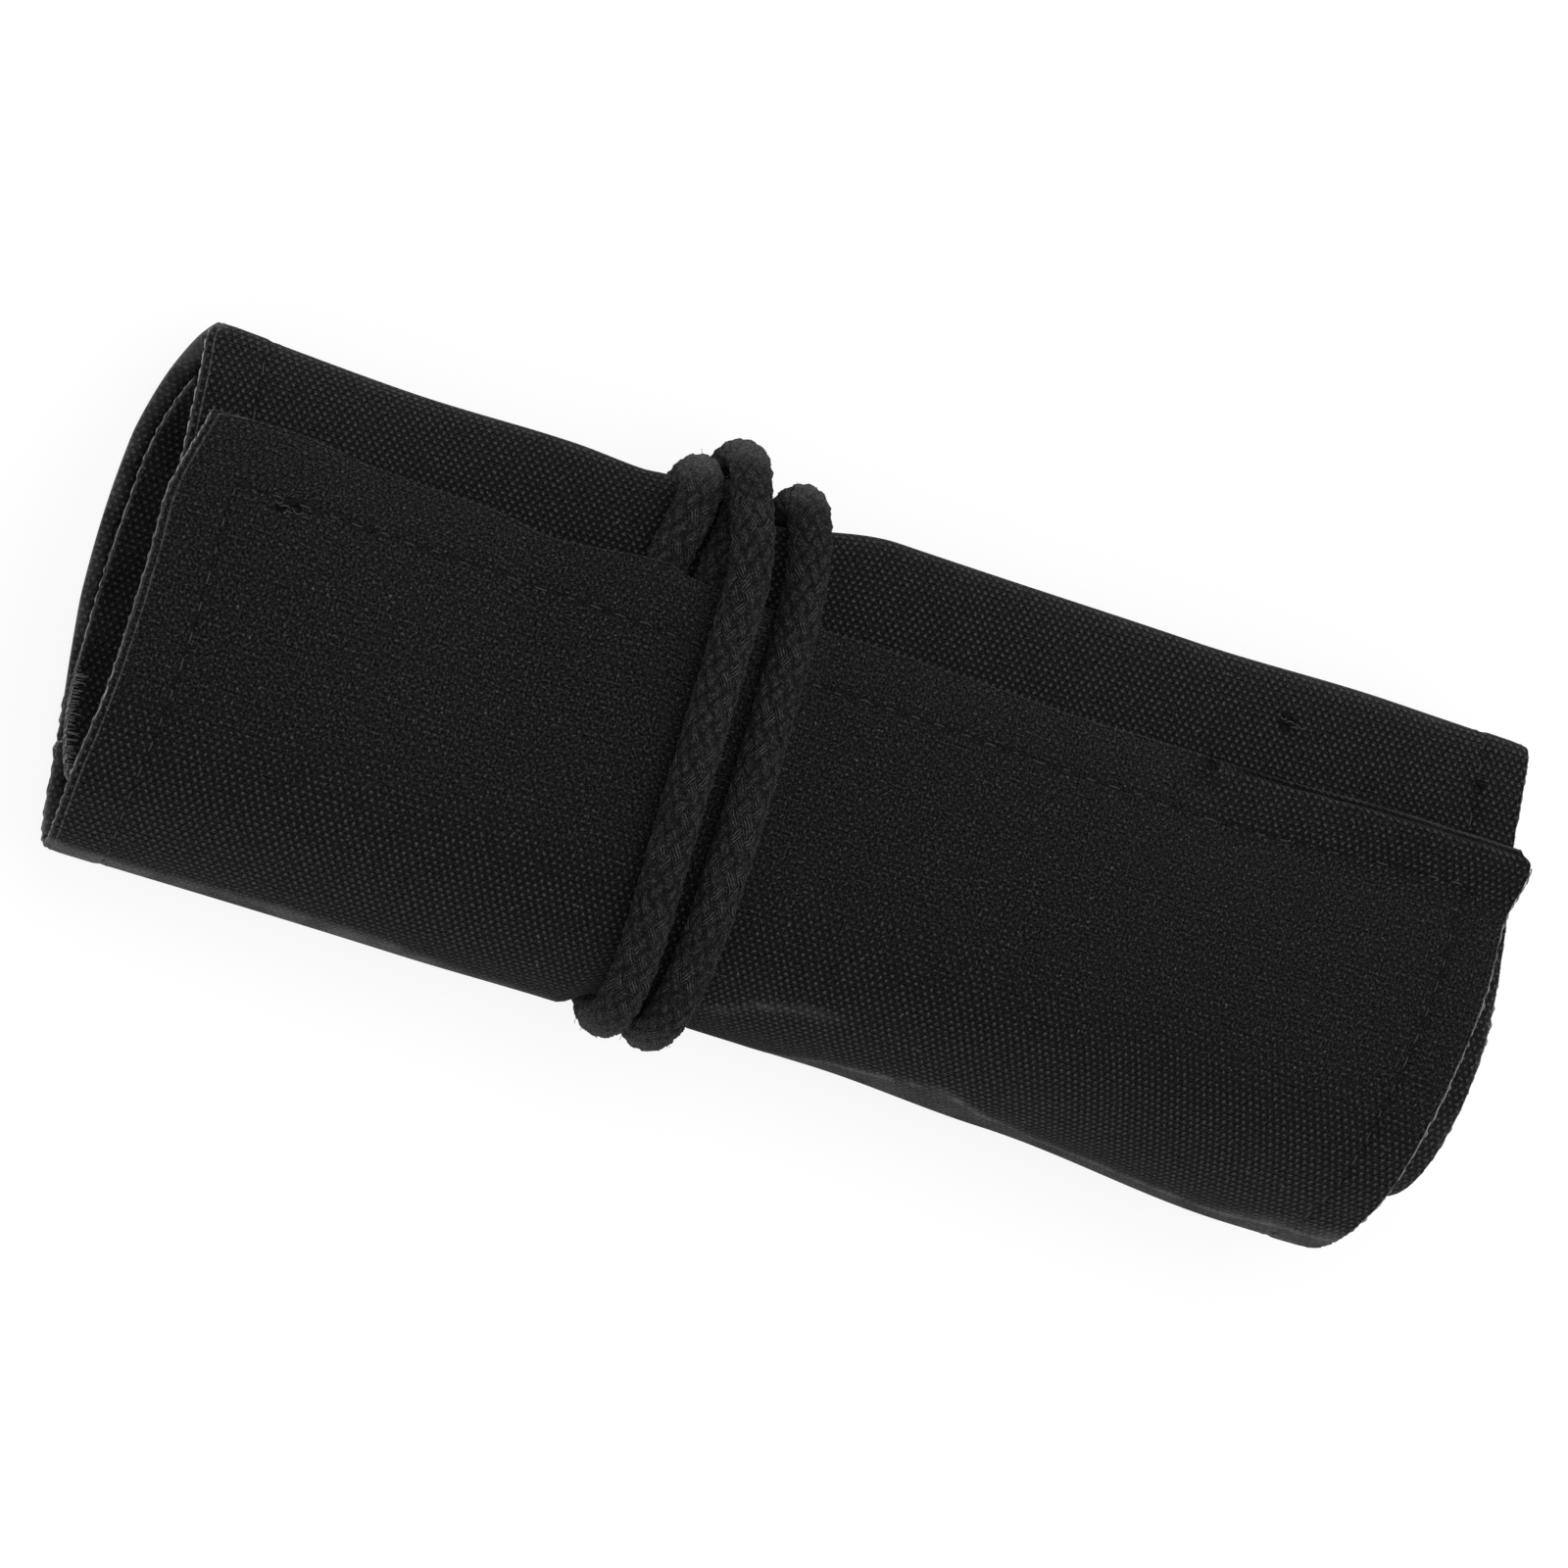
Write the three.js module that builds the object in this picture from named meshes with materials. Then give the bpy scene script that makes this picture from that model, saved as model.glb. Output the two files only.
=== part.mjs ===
// Pencil roll: a hemmed canvas sheet rolled flat into a lens, its flap lying on top, a row of pencil
// pockets on its inner end, and a doubled tie cord wound round the waist.
// Millimetres, +Z up. X runs along the roll, Y across it, and the roll lies on Z = 0.
import * as THREE from 'three';

// Canvas
const ROLL_LENGTH = 207;
const ROLL_WIDTH = 77;
const ROLL_HEIGHT = 38;
const CANVAS = 0.9;
const HEM_LAYER = 0.7;
const HEM_WIDTH = 7.5;
const GAP = 0.35;
const POCKET_LAYER = 0.8;
const POCKET_DEPTH = 108;

// Section of the roll: its outer folds are pointed, and each face leans towards one of them
const POINTED = 1.3;
const INNER_POINTED = 1;
const LEAN = 0.3;
const FLAT_UNDERSIDE = 0.9;
const RIGHT_FULLNESS = 5;

// Winding angles in degrees, from the back fold over the top: 180 front fold, 360 back fold again
const FLAP_EDGE = 50;
const FRONT_FOLD = 180;
const INNER_END = 696;
const POCKET_FROM = 386;
const FOLD_GAP = 0.45;
const INSET_KEYS = [[0, 0], [360, 0], [412, 2.7], [455, 3.4], [540, 9], [630, 6], [700, 5.5]];

// How far the rolled sheet's two ends reach past the plain length, at winding angles: it is rolled unevenly
const END_RUN = 70;
const END_KEPT = 14;
const LEFT_REACH = [[46, -2.2], [75, 1.8], [127, 1.8], [180, -1.1], [222, -1], [283, 1.4], [358, -1.3],
  [380, 0.2], [416, 0.2], [545, -1.7], [600, 0], [656, -0.5], [700, -2.3]];
const RIGHT_REACH = [[46, 1.5], [72, -1.5], [124, -4.2], [180, -5.8], [360, 1.5], [405, 0], [462, 1.8],
  [503, 1.8], [540, -0.5], [700, -0.5]];

// Places along the roll: winding angle of the flap's free edge, and how much wider each fold stands
const FLAP_EDGE_AT = [[-110, 47.8], [-88, 46], [-77, 48], [-60, 48.3], [-50, 50.8], [-34, 47.2], [-25, 48.8],
  [-2, 52], [52, 53.2], [88, 51.4], [110, 50.8]];
const FLAP_EDGE_RUN = 60;
const BACK_WIDER = [[-110, -1.05], [-72, -1.75], [-48, -1.05], [-43, -0.95], [-35, -3.25], [-20, -3.25],
  [2, 0.25], [50, 0.65], [82, 1.65], [110, 1.65]];
const FRONT_WIDER = [[-110, 0.85], [-50, 0.45], [-31, 0], [-22, -2.45], [-11, -2.45], [-5, -1.85],
  [14, -1.95], [42, -0.85], [82, 1.65], [110, 1.25]];

// Tie cord: two tails side by side, each from under the flap, once round, across the front and behind.
// Each list gives a value at winding angles: place along the roll, lift over the other tail, press
const CORD_WIDTH = 6.4;
const CORD_TUCKED_HEIGHT = 2.8;
const CORD_START = 60;
const CORD_END = -390;
const TUCK_FROM = 48;
const TUCK_RUN = 17;
const PRESSED = 0.76;
const AT_FOLD = 0.84;
const CORD_A = {
  places: [[60, -34.6], [0, -31.4], [-180, -18.3], [-282, -23.4], [-306, -23.3], [-332, -24.8], [-390, -23.5]],
  lift: [[60, 0], [-292, 0], [-334, 5.4], [-390, 5.4]],
  press: [[60, 1], [-140, 1], [-180, AT_FOLD], [-220, 1], [-310, 1], [-340, PRESSED], [-390, PRESSED]],
};
const CORD_B = {
  places: [[60, -26.7], [0, -24.1], [-180, -11.3], [-284, -14.1], [-330, -13.4], [-390, -13.5]],
  lift: [[60, 0], [-390, 0]],
  press: [[60, PRESSED], [-46, PRESSED], [-80, 1], [-140, 1], [-180, AT_FOLD], [-220, 1], [-390, 1]],
};

// Waist that the tie draws in
const TIE_MIDDLE = -20;
const TIE_HALF = 18;
const WAIST_RUN = 46;
const WAIST_UNDER = 7.2;
const WAIST_OVER = 2.8;
const FLAP_LIFT = 3.5;
const FLAP_LIFT_MIDDLE = -30.2;
const FLAP_LIFT_HALF = 9;
const FLAP_LIFT_RUN = 16;

// Grid of the cloth layers: degrees of winding, and millimetres along the roll
const ANGLE_STEP = 10;
const LENGTH_STEP = 8.2;

const { degToRad, smoothstep, lerp } = THREE.MathUtils;
const halfWidth = (ROLL_WIDTH - CANVAS) / 2;
const halfHeight = (ROLL_HEIGHT + FLAT_UNDERSIDE - CANVAS) / 2;
const middle = (ROLL_HEIGHT - FLAT_UNDERSIDE) / 2;
const halfLength = ROLL_LENGTH / 2;

// A value that runs smoothly from key to key, the keys rising or falling
function along(keys, at) {
  const falling = keys[0][0] > keys[keys.length - 1][0];
  const way = falling ? -1 : 1;
  const next = Math.max(1, keys.findIndex(([place]) => place * way >= at * way));
  const [start, first] = keys[next - 1];
  const [end, last] = keys[next];
  return lerp(first, last, smoothstep((at - start) / (end - start), 0, 1));
}

// Middle line of the rolled sheet at a winding angle, as [y, z], with the inset of the inner turns
function section(angle, inset = along(INSET_KEYS, angle)) {
  const turn = degToRad(angle);
  const across = Math.cos(turn);
  const up = Math.sin(turn);
  const pointed = lerp(POINTED, INNER_POINTED, smoothstep(angle, 410, 530));
  const bulge = Math.sign(up) * Math.abs(up) ** pointed * (1 - LEAN * across * Math.sign(up));
  const height = middle + (halfHeight - inset) * bulge;
  return [(halfWidth - inset) * across, Math.max(height, CANVAS / 2)];
}

// Middle line of the outer turn alone, at any winding angle
function outerTurn(angle) {
  return section(((angle % 360) + 360) % 360, 0);
}

// Outward normal of a line of [y, z] points that is wound from the back fold over the top
function outward(line, angle) {
  const [y0, z0] = line(angle - 0.5);
  const [y1, z1] = line(angle + 0.5);
  const size = Math.hypot(y1 - y0, z1 - z0);
  return [(z1 - z0) / size, (y0 - y1) / size];
}

// Share of the waist at a place along the roll: 1 under the tie, 0 clear of it
function waist(x) {
  return 1 - smoothstep((Math.abs(x - TIE_MIDDLE) - TIE_HALF) / WAIST_RUN, 0, 1);
}

// The straight roll drawn in at the tie and fuller at its right end
function drawnIn(x, [y, z]) {
  const pull = waist(x);
  const low = WAIST_UNDER * pull;
  const high = ROLL_HEIGHT - WAIST_OVER * pull + RIGHT_FULLNESS * smoothstep(x, 0, halfLength);
  const wider = along(y > 0 ? BACK_WIDER : FRONT_WIDER, x);
  const side = 1 + wider / halfWidth * (y / halfWidth) ** 2;
  return [y * side, low + z / ROLL_HEIGHT * (high - low)];
}

// Place along the roll of a point of the sheet, which reaches further or less far at its ends
function lengthwise(x, angle) {
  const reach = along(x < 0 ? LEFT_REACH : RIGHT_REACH, angle);
  const share = smoothstep(Math.abs(x), halfLength - END_RUN, halfLength - END_KEPT);
  return x + Math.sign(x) * reach * share;
}

// Winding angle of a point of the flap, whose free edge wanders along the roll
function flapWinding(x, angle) {
  const share = 1 - smoothstep(angle - FLAP_EDGE, 0, FLAP_EDGE_RUN);
  return angle + (along(FLAP_EDGE_AT, x) - FLAP_EDGE) * share;
}

// The flap rises over the two tucked cord ends near its free edge
function flapRise(x, angle) {
  const acrossTie = (Math.abs(x - FLAP_LIFT_MIDDLE) - FLAP_LIFT_HALF) / FLAP_LIFT_RUN;
  const fromEdge = (angle - FLAP_EDGE) / 70;
  return FLAP_LIFT * (1 - smoothstep(acrossTie, 0, 1)) * (1 - smoothstep(fromEdge, 0.1, 1));
}

// A closed shell from a grid of outer and inner points, rows along the winding
function shell(outer, inner) {
  const rows = outer.length;
  const columns = outer[0].length;
  const positions = [...outer, ...inner].flat(2);
  const index = [];
  const at = (side, row, column) => (side * rows + row) * columns + column;
  const quad = (a, b, c, d) => index.push(a, c, b, a, d, c);
  for (let row = 0; row + 1 < rows; row += 1) {
    for (let column = 0; column + 1 < columns; column += 1) {
      quad(at(0, row, column), at(0, row, column + 1), at(0, row + 1, column + 1), at(0, row + 1, column));
      quad(at(1, row, column), at(1, row + 1, column), at(1, row + 1, column + 1), at(1, row, column + 1));
    }
    const end = columns - 1;
    quad(at(0, row, 0), at(0, row + 1, 0), at(1, row + 1, 0), at(1, row, 0));
    quad(at(0, row, end), at(1, row, end), at(1, row + 1, end), at(0, row + 1, end));
  }
  for (let column = 0; column + 1 < columns; column += 1) {
    const end = rows - 1;
    quad(at(0, 0, column), at(1, 0, column), at(1, 0, column + 1), at(0, 0, column + 1));
    quad(at(0, end, column), at(0, end, column + 1), at(1, end, column + 1), at(1, end, column));
  }
  return solid(positions, index);
}

function solid(positions, index) {
  const geometry = new THREE.BufferGeometry();
  geometry.setAttribute('position', new THREE.Float32BufferAttribute(positions, 3));
  geometry.setIndex(index);
  geometry.computeVertexNormals();
  return geometry;
}

// Both ends of a stretch and the places between them on a grid that all layers share
function gridPlaces(low, high, step) {
  const places = [low];
  for (let k = Math.ceil(low / step); k * step < high; k += 1) {
    if (k * step - low > step / 6 && high - k * step > step / 6) places.push(k * step);
  }
  return [...places, high];
}

// A layer of cloth between two winding angles and two ends, at a depth inside the canvas's middle line
function layer({ from, to, left, right, depth = 0, thickness, onFlap = false }) {
  const place = (x, angle, offset) => {
    const [y, z] = section(angle);
    const [ny, nz] = outward(section, angle);
    const [py, pz] = drawnIn(x, [y + ny * offset, z + nz * offset]);
    return [x, py, pz + (onFlap ? flapRise(x, angle) : 0)];
  };
  const face = (offset) => gridPlaces(from, to, ANGLE_STEP).map((angle) => (
    gridPlaces(left, right, LENGTH_STEP).map((column) => {
      const x = lengthwise(column, angle);
      return place(x, onFlap ? flapWinding(x, angle) : angle, offset);
    })
  ));
  return shell(face(thickness / 2 - depth), face(-thickness / 2 - depth));
}

// Depths of the layers that are sewn inside the canvas
const hemDepth = CANVAS / 2 + GAP + HEM_LAYER / 2;
const pocketDepth = hemDepth + HEM_LAYER / 2 + GAP + POCKET_LAYER / 2;
const hemInner = halfLength - HEM_WIDTH;
const foldAngle = FOLD_GAP / 2 / 0.19;
const rollCanvas = { from: FRONT_FOLD + foldAngle, to: INNER_END, thickness: CANVAS };
const rollHem = { from: FRONT_FOLD + 6, to: INNER_END - 2, depth: hemDepth, thickness: HEM_LAYER };
const flapCanvas = { from: FLAP_EDGE, to: FRONT_FOLD - foldAngle, thickness: CANVAS, onFlap: true };
const flapHem = { from: FLAP_EDGE + 0.5, to: FRONT_FOLD - 6, depth: hemDepth, thickness: HEM_LAYER,
  onFlap: true };
const ends = { left: -halfLength, right: halfLength };
const leftStrip = { left: -halfLength + 0.3, right: -hemInner };
const rightStrip = { left: hemInner, right: halfLength - 0.3 };
const betweenHems = { left: -hemInner + GAP, right: hemInner - GAP };
const pocketEnds = { left: -halfLength + 1.5, right: -halfLength + 1.5 + POCKET_DEPTH };

// Centre, outward normal and height of a cord at a winding angle, counted down from under the flap
function cordStation(angle, { places, lift, press }) {
  const x = along(places, angle);
  const tucked = angle > 0;
  const line = (turn) => {
    const [y, z] = drawnIn(x, tucked ? section(turn + 360) : outerTurn(turn));
    const overFlap = turn < -FRONT_FOLD ? flapRise(x, turn + 360) : 0;
    return [y, z + overFlap * smoothstep(turn + 360, 15, FLAP_EDGE)];
  };
  const [y, z] = line(angle);
  const [ny, nz] = outward(line, angle);
  const shown = smoothstep(TUCK_FROM - angle, 0, TUCK_RUN);
  const height = lerp(CORD_TUCKED_HEIGHT, CORD_WIDTH * along(press, angle), shown);
  const away = CANVAS / 2 + GAP + height / 2 + along(lift, angle);
  return { point: [x, y + ny * away, z + nz * away], normal: [0, ny, nz], height };
}

// Stations spaced evenly along a cord
function cordStations(cord, count) {
  const dense = [];
  for (let angle = CORD_START; angle >= CORD_END; angle -= 1) {
    dense.push(cordStation(angle, cord));
  }
  const run = [0];
  for (let i = 1; i < dense.length; i += 1) {
    const step = Math.hypot(...dense[i].point.map((value, k) => value - dense[i - 1].point[k]));
    run.push(run[i - 1] + step);
  }
  const length = run[run.length - 1];
  const stations = Array.from({ length: count + 1 }, (_, i) => {
    const at = length * i / count;
    const next = Math.max(1, run.findIndex((value) => value >= at - 1e-6));
    const share = (at - run[next - 1]) / (run[next] - run[next - 1]);
    const between = (a, b) => a.map((value, k) => lerp(value, b[k], share));
    const [before, after] = [dense[next - 1], dense[next]];
    return {
      point: new THREE.Vector3(...between(before.point, after.point)),
      normal: new THREE.Vector3(...between(before.normal, after.normal)).normalize(),
      height: lerp(before.height, after.height, share),
    };
  });
  return { stations, length };
}

// One unbroken tube along the stations, flat where it is tucked under the flap
function tube(stations, sides) {
  const last = stations.length - 1;
  const positions = [];
  const index = [];
  stations.forEach(({ point, normal, height }, i) => {
    const ahead = stations[Math.min(i + 1, last)].point.clone().sub(stations[Math.max(i - 1, 0)].point);
    const side = new THREE.Vector3().crossVectors(ahead, normal).normalize();
    const up = new THREE.Vector3().crossVectors(side, ahead).normalize();
    for (let k = 0; k < sides; k += 1) {
      const turn = (k + 0.5) / sides * 2 * Math.PI;
      const corner = point.clone()
        .addScaledVector(side, Math.cos(turn) * CORD_WIDTH / 2)
        .addScaledVector(up, Math.sin(turn) * height / 2);
      positions.push(...corner.toArray());
    }
  });
  positions.push(...stations[0].point.toArray(), ...stations[last].point.toArray());
  const startCentre = (last + 1) * sides;
  for (let k = 0; k < sides; k += 1) {
    const next = (k + 1) % sides;
    for (let i = 0; i < last; i += 1) {
      const [a, b] = [i * sides + k, i * sides + next];
      index.push(a, a + sides, b, b, a + sides, b + sides);
    }
    index.push(startCentre, k, next);
    index.push(startCentre + 1, last * sides + next, last * sides + k);
  }
  return solid(positions, index);
}

// Least clear space between two cords, or of one cord to its own other turns
function leastGap(first, second) {
  const own = first === second;
  const spacing = first.length / (first.stations.length - 1);
  let least = Infinity;
  first.stations.forEach(({ point, height }, i) => {
    second.stations.forEach((other, k) => {
      if (own && Math.abs(i - k) * spacing < 4 * CORD_WIDTH) return;
      least = Math.min(least, point.distanceTo(other.point) - (height + other.height) / 2);
    });
  });
  return least;
}

const cordA = cordStations(CORD_A, 84);
const cordB = cordStations(CORD_B, 84);
console.log(`tie cord lengths ${cordA.length.toFixed(1)} and ${cordB.length.toFixed(1)} mm`);
console.log(`least gap of cord a to itself ${leastGap(cordA, cordA).toFixed(2)} mm`);
console.log(`least gap of cord b to itself ${leastGap(cordB, cordB).toFixed(2)} mm`);
console.log(`least gap between the cords ${leastGap(cordA, cordB).toFixed(2)} mm`);

const canvasColour = 0x17181a;
const liningColour = 0x1b1c1e;
const cordColour = 0x1f2022;
const pieces = [
  ['roll_canvas', layer({ ...rollCanvas, ...ends }), canvasColour],
  ['roll_left_hem', layer({ ...rollHem, ...leftStrip }), liningColour],
  ['roll_right_hem', layer({ ...rollHem, ...rightStrip }), liningColour],
  ['pocket_panel', layer({ from: POCKET_FROM, to: INNER_END - 4, ...pocketEnds, depth: pocketDepth,
    thickness: POCKET_LAYER }), liningColour],
  ['flap_canvas', layer({ ...flapCanvas, ...ends }), canvasColour],
  ['flap_left_hem', layer({ ...flapHem, ...leftStrip }), liningColour],
  ['flap_right_hem', layer({ ...flapHem, ...rightStrip }), liningColour],
  ['flap_end_hem', layer({ ...flapHem, to: FLAP_EDGE + 11, ...betweenHems }), liningColour],
  ['tie_cord_a', tube(cordA.stations, 8), cordColour],
  ['tie_cord_b', tube(cordB.stations, 8), cordColour],
];

const roll = new THREE.Group();
roll.name = 'pencil_roll';
for (const [name, geometry, colour] of pieces) {
  const material = new THREE.MeshStandardMaterial({ color: colour, roughness: 0.95 });
  const mesh = new THREE.Mesh(geometry, material);
  mesh.name = name;
  roll.add(mesh);
}

export default roll;
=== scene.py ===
# Pencil roll of black canvas, rolled up and tied with a braided cord.
# Lengths are in millimetres until a mesh is made. X runs along the roll, Y across it, Z up.
import math
from collections import namedtuple

import bpy
import numpy as np
from mathutils import Matrix, Vector


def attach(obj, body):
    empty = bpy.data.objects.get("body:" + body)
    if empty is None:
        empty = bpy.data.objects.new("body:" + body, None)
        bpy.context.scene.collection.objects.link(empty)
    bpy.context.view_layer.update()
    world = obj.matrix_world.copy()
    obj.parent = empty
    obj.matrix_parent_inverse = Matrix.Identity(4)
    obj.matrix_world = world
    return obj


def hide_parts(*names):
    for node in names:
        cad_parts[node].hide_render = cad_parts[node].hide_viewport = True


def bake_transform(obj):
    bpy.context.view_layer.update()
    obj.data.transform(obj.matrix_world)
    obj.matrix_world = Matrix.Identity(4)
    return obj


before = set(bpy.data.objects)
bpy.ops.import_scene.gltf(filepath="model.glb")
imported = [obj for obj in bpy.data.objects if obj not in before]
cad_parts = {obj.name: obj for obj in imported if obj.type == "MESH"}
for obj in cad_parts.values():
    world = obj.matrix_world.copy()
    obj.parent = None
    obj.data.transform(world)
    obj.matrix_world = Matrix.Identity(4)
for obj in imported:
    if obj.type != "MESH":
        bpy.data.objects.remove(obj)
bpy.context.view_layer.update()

MM = 0.001

# Canvas sheet, its hems and its stitching
ROLL_LENGTH = 207
ROLL_WIDTH = 77
ROLL_HEIGHT = 38
CANVAS = 0.9
CLOTH = 0.55
HEM_EXTRA = 0.6
LEFT_STITCH = 8.6
RIGHT_STITCH = 7.8
END_STITCH = 8
HEM_PAST_STITCH = 0.9
STITCH_PITCH = 3.9
STITCH_LENGTH = 2.7
STITCH_SUNK = 0.37
THREAD = 0.32
EDGE_YARN = 0.48
EDGE_YARN_PITCH = 1.3
OVERCAST_PITCH = 0.27

# Pits where threads are drawn in: place along the roll, winding angle and radius; each is painted dark as
# shade
PITS = [(-88.8, 65.8, 1.2), (-86.6, 65.3, 1.1), (65.2, 390.3, 1.9), (96.5, 391, 1.2), (53.5, 52.8, 1.4)]

# Two tacks, by place along the roll and winding angle, and their loose short stitches: places along and
# across, length and bend
FLAP_TACK = (-90, 65.6)
INNER_TACK = (63.8, 390.3)
TACK_STITCHES = [(0, -0.6, 1.2, 0.5), (1.0, 0.1, 1.5, -0.2), (1.9, 0.5, 1.2, 0.1), (2.7, -0.2, 1.8, 0.7),
                 (4.4, 0.5, 1.3, 0)]

# Loose loop of the overcast thread, at the front of the open left end
LOOSE_LOOP = [(-101.9, -24.8, 13.4), (-102.8, -24.7, 13.2), (-103.5, -25.2, 12), (-103.4, -26.2, 10.6),
              (-102.8, -27.2, 9.6), (-102.3, -27.9, 9.2)]

# Pocket strip inside, whose left edge lies under the side hem
POCKET_OUTSIDE = -1.9
POCKET_LEFT = 8.4
POCKET_RIGHT = 109.5
POCKET_STITCH = 5
POCKET_SLOT = 16.5
POCKET_ROWS_FROM = 415

# Section of the roll, with pointed folds that lean
POINTED = 1.3
INNER_POINTED = 1
INNER_FROM = 410
INNER_FULL = 530
LEAN = 0.3
FLAT_UNDERSIDE = 0.9
RIGHT_FULLNESS = 5
FOLD_ROUNDING = 0.7
SLOW_RELIEF = 0.35
FINE_RELIEF = 0.16

# Winding angles in degrees, from the back fold over the top: 180 front fold, 360 back fold again
FLAP_EDGE = 50
FRONT_FOLD = 180
PIECES_MEET = 240
BACK_FOLD = 360
POCKET_FROM = 386
INNER_FOLD = 540
OVERCAST_FROM = 550
OVERCAST_TO = 603
POCKET_TO = 692
INNER_END = 696
INSET_KEYS = [(0, 0), (360, 0), (412, 2.7), (455, 3.4), (540, 9), (630, 6), (700, 5.5)]

# How far the rolled sheet's two ends reach past the plain length, at winding angles
END_RUN = 70
END_KEPT = 14
LEFT_REACH = [(46, -2.2), (75, 1.8), (127, 1.8), (180, -1.1), (222, -1), (283, 1.4), (358, -1.3),
              (380, 0.2), (416, 0.2), (545, -1.7), (600, 0), (656, -0.5), (700, -2.3)]
RIGHT_REACH = [(46, -1.5), (50, -0.6), (53.5, 1.2), (72, -1.5), (124, -4.2), (180, -5.8), (360, 1.5),
               (405, 0), (462, 1.8), (503, 1.8), (540, -0.5), (700, -0.5)]

# Places along the roll: winding angle of the flap's free edge and of its stitched row, and how much
# wider each fold stands
FLAP_EDGE_AT = [(-110, 47.8), (-88, 46), (-77, 48), (-60, 48.3), (-50, 50.8), (-34, 47.2), (-25, 48.8),
                (-2, 52), (30, 52.4), (50, 51.6), (88, 49.7), (110, 49.2)]
FLAP_EDGE_RUN = 60
FLAP_ROW_AT = [(-110, 64), (-50, 64.3), (5, 66), (25, 66.3), (50, 66.6), (95, 62.8), (110, 62.6)]
BACK_WIDER = [(-110, -1.05), (-72, -1.75), (-48, -1.05), (-38, -1.4), (-33.5, -1), (-29.8, -3.25),
              (-20, -3.25), (2, 0.25), (50, 0.65), (82, 1.65), (110, 1.65)]
FRONT_WIDER = [(-110, 0.85), (-50, 0.45), (-25.5, 0.1), (-20.5, -2.45), (-11, -2.45), (-5, -1.85),
               (14, -1.95), (42, -0.85), (82, 1.65), (110, 1.25)]

# Creases near the front fold, as winding angles at places along the roll
FOLD_CREASE = [(-110, 166), (-92, 166), (-60, 164), (-36, 171), (3, 177), (17, 162), (32, 155),
               (42, 161.5), (50, 165.5), (78, 165), (90, 161.5), (110, 158)]
WRINKLE = [(-9, 155), (-4, 150), (0.5, 143), (7, 140), (14, 139)]

# Waist that the tie draws in, and the flap's rise over the tucked cord ends
TIE_MIDDLE = -20
TIE_HALF = 18
WAIST_RUN = 46
WAIST_UNDER = 7.2
WAIST_OVER = 2.8
FLAP_LIFT = 3.5
FLAP_LIFT_MIDDLE = -30.2
FLAP_LIFT_HALF = 9
FLAP_LIFT_RUN = 16
FLAP_LIFT_FROM = 57
FLAP_LIFT_TO = 120

# Flap's free edge: right corner that stands off, and a small arch
CORNER_LIFT = 1.5
CORNER_FROM = 68
CORNER_FULL = 100
ARCH_LIFT = 1.3
ARCH_MIDDLE = 53.5
ARCH_HALF = 2.6

# Tie cord: two tails, each from under the flap, once round, across the front and behind.
# Each list gives a value at winding angles: place along the roll, lift over the other tail, press
CORD_WIDTH = 6.4
CORD_TUCKED_HEIGHT = 2.8
CORD_START = 60
CORD_END = -390
CORD_GAP = 0.35
TUCK_FROM = 48
TUCK_RUN = 17
PRESSED = 0.76
AT_FOLD = 0.84
CORD_A = {
    "places": [(60, -33.5), (0, -29.6), (-180, -18.3), (-282, -23.4), (-306, -23.3), (-332, -24.8),
               (-390, -23.5)],
    "lift": [(60, 0), (-292, 0), (-334, 5.4), (-390, 5.4)],
    "press": [(60, 1), (-140, 1), (-180, AT_FOLD), (-220, 1), (-310, 1), (-340, PRESSED), (-390, PRESSED)],
}
CORD_B = {
    "places": [(60, -25.8), (0, -22.9), (-180, -11.3), (-284, -14.1), (-330, -13.4), (-390, -13.5)],
    "lift": [(60, 0), (-390, 0)],
    "press": [(60, PRESSED), (-46, PRESSED), (-80, 1), (-140, 1), (-180, AT_FOLD), (-220, 1), (-390, 1)],
}
BRAID_STRANDS = 8
BRAID_PITCH = 32
BRAID_DEPTH = 0.6
FUZZ = 0.07
CORD_TRIM = 0.3
CORD_END_ROUND = 1.6
CORD_FIBRES = 160
FIBRE_REACH = 0.7

# Weave: spacing of the yarns along the roll and round it
YARN_ALONG = 0.58
YARN_ROUND = 0.95

# Colours, from the gaps between yarns to their crowns, and of rubbed places. The dark of the gaps is painted
# shade and the pale of the crowns is partly a painted highlight; the rubbed colour is also used as painted
# sheen at edges and folds, and the pit colour is painted shade.
CANVAS_DARK = (0.0018, 0.0018, 0.0019)
CANVAS_MIDDLE = (0.013, 0.013, 0.0133)
CANVAS_PALE = (0.064, 0.064, 0.065)
CANVAS_WORN_AND_SHEEN = (0.118, 0.117, 0.116)
PIT_SHADE = (0.001, 0.001, 0.001)
CORD_DARK = (0.0026, 0.0026, 0.0028)
CORD_MIDDLE = (0.0146, 0.0147, 0.0151)
CORD_PALE = (0.078, 0.078, 0.08)
CORD_WORN_AND_SHEEN = (0.12, 0.12, 0.12)
PAPER = (0.86, 0.86, 0.86)

# Dark and pale grey of each thread. The loose fibres and the edge yarns are far paler than the black cloth:
# their grey is partly a painted highlight, of light that catches the edges and shines through the fuzz.
FIBRE_GREYS = (0.03, 0.16)
STITCH_GREYS = (0.004, 0.03)
EDGE_YARN_GREYS = (0.03, 0.3)
OVERCAST_GREYS = (0.05, 0.25)

# Camera, fitted to the photograph
CAMERA_TARGET = (-2.5, 0.85, 19)
CAMERA_DISTANCE = 1000
CAMERA_AZIMUTH = 92.92
CAMERA_ELEVATION = 71.05
CAMERA_ROLL = 18.45
CAMERA_FOCAL = 7144 / 1600
CAMERA_SENSOR = 36

# Floor and light, in metres
FLOOR_REACH = 4.0
FLOOR_DROP = 0.0003
GLOW_SHARE = 0.8
GLOW_STRENGTH = 1.07
SKY_LIGHT = 0.62
LAMP_PLACE = (-0.05, 0.25, 0.95)
LAMP_AIM = (0, 0, 0.02)
LAMP_SIZE = 0.8
LAMP_POWER = 4.4

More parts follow.
